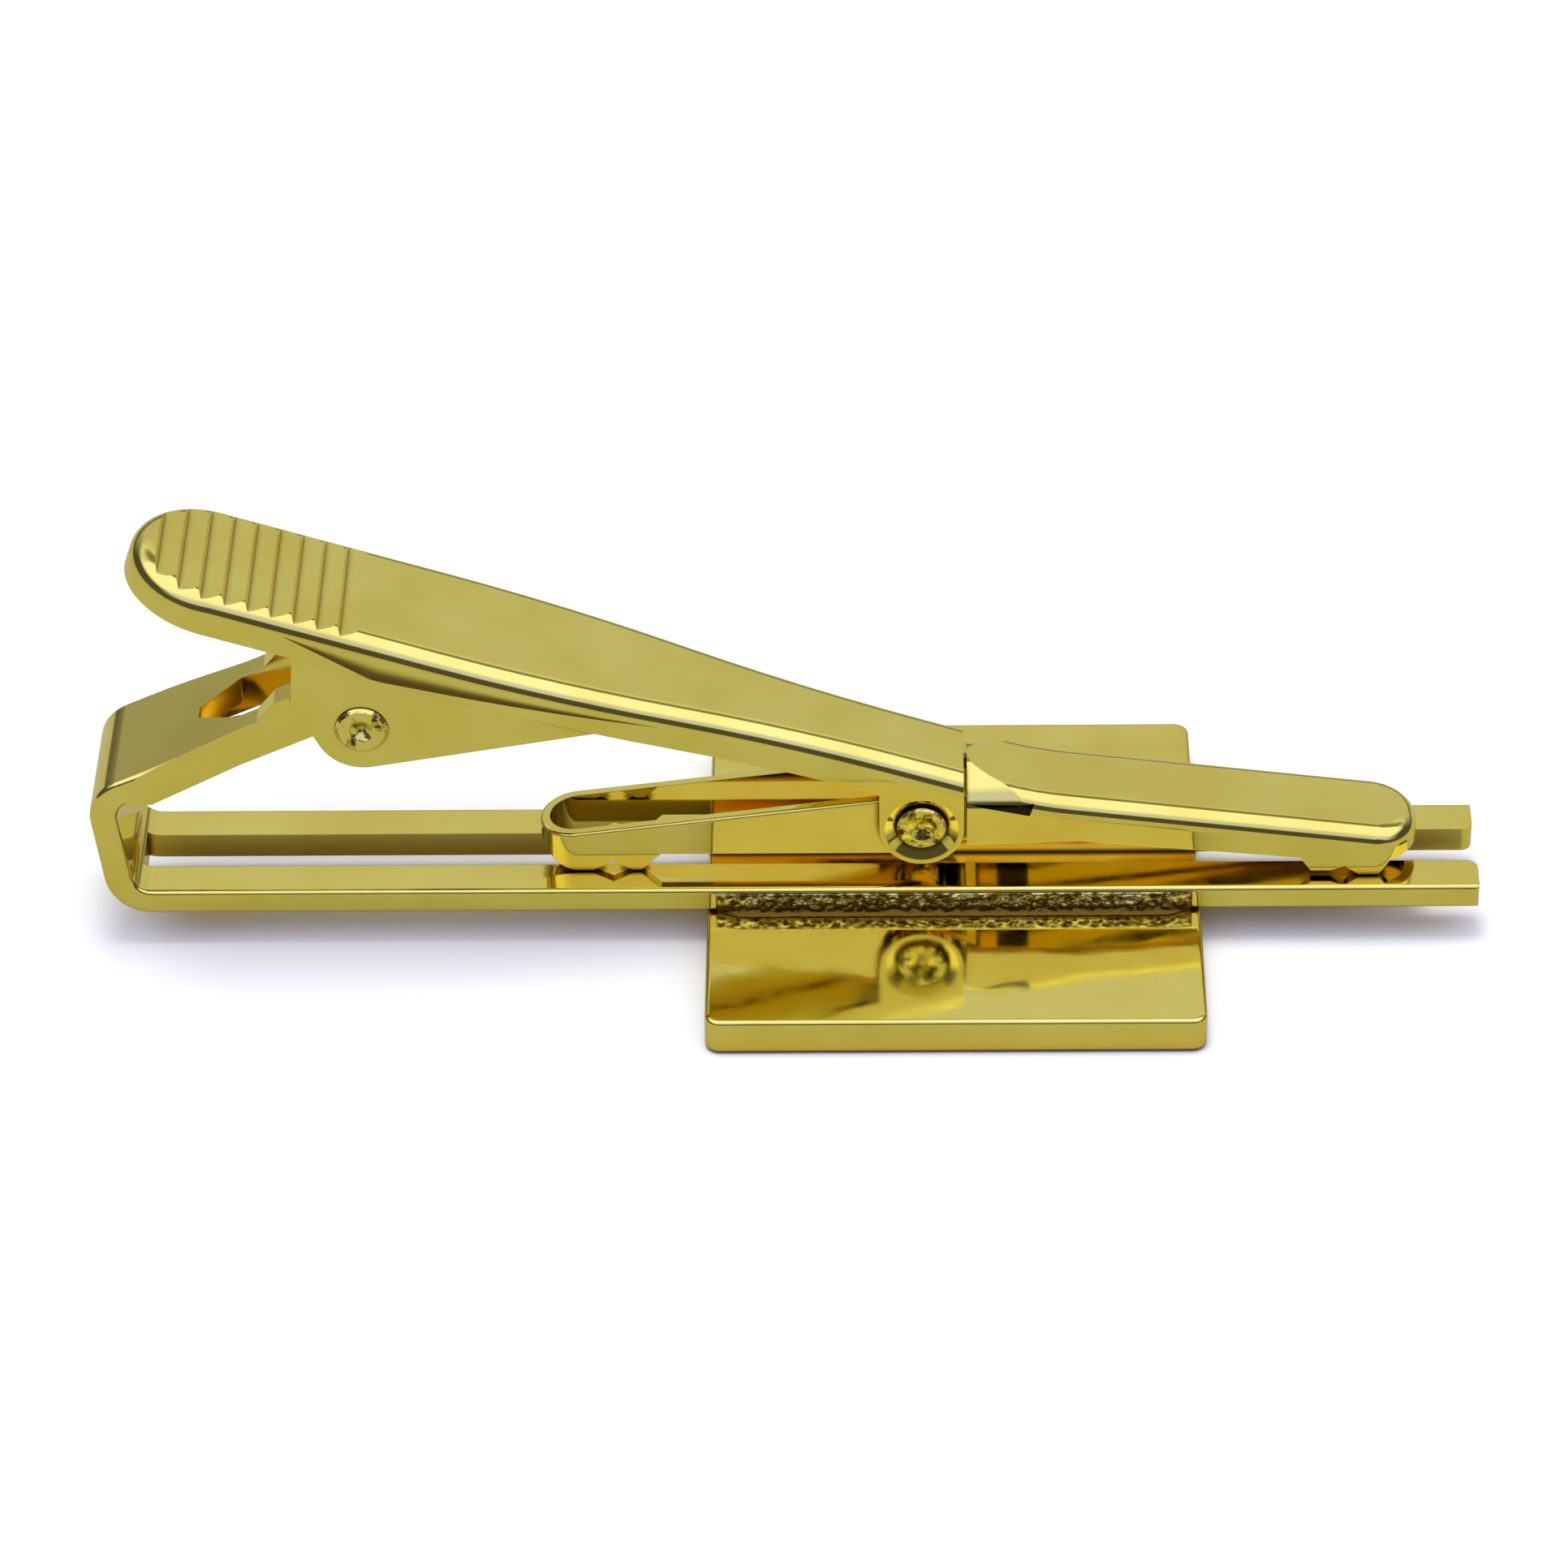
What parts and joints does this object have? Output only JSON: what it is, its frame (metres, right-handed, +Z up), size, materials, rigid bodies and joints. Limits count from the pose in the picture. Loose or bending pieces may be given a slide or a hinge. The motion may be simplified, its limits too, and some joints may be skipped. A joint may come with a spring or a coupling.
{
  "type": "tie clip",
  "caption": "Sprung tie clip: square front plate on a forked back bar, with a ribbed thumb lever and a rocking toothed jaw that presses on the bar.",
  "frame": {"origin": "centre of the front plate's front face, which lies on the surface", "axes": "+X along the bar towards the open prong tips, +Y across the bar, +Z up out of the plate's back"},
  "size_m": [0.056, 0.02, 0.0183],
  "materials": {
    "frame_gold": "gold plated, polished",
    "plate_gold": "gold plated, mirror polished",
    "lever_gold": "gold plated, satin polished",
    "jaw_gold": "gold plated, satin polished",
    "pin_gold": "gold plated, riveted ends",
    "spring_gold": "gold plated spring steel",
    "solder": "grainy solder under gold plating"
  },
  "bodies": {
    "frame": {"clip_frame": "frame_gold", "front_plate": "plate_gold", "solder_seam_front": "solder", "solder_seam_rear": "solder", "leaf_spring": "spring_gold"},
    "lever": {"lever": "lever_gold", "hinge_pin": "pin_gold", "jaw_pin": "pin_gold"},
    "jaw": {"rocker_jaw": "jaw_gold"}
  },
  "joints": [
    {"name": "lever_hinge", "type": "hinge", "parent": "frame", "child": "lever", "pos_m": [-0.02355, 0, 0.01098], "axis": [0, -1, 0], "range_deg": [0, 26], "stiffness_Nm_per_rad": 0.02, "springref_deg": -5.73, "deforming": ["leaf_spring"]},
    {"name": "jaw_rock", "type": "hinge", "parent": "lever", "child": "jaw", "pos_m": [-0.0013, 0, 0.00512], "axis": [0, -1, 0], "range_deg": [-26, 0]}
  ],
  "couplings": [
    {"joint": "jaw_rock", "follows": "lever_hinge", "ratio": -1}
  ]
}
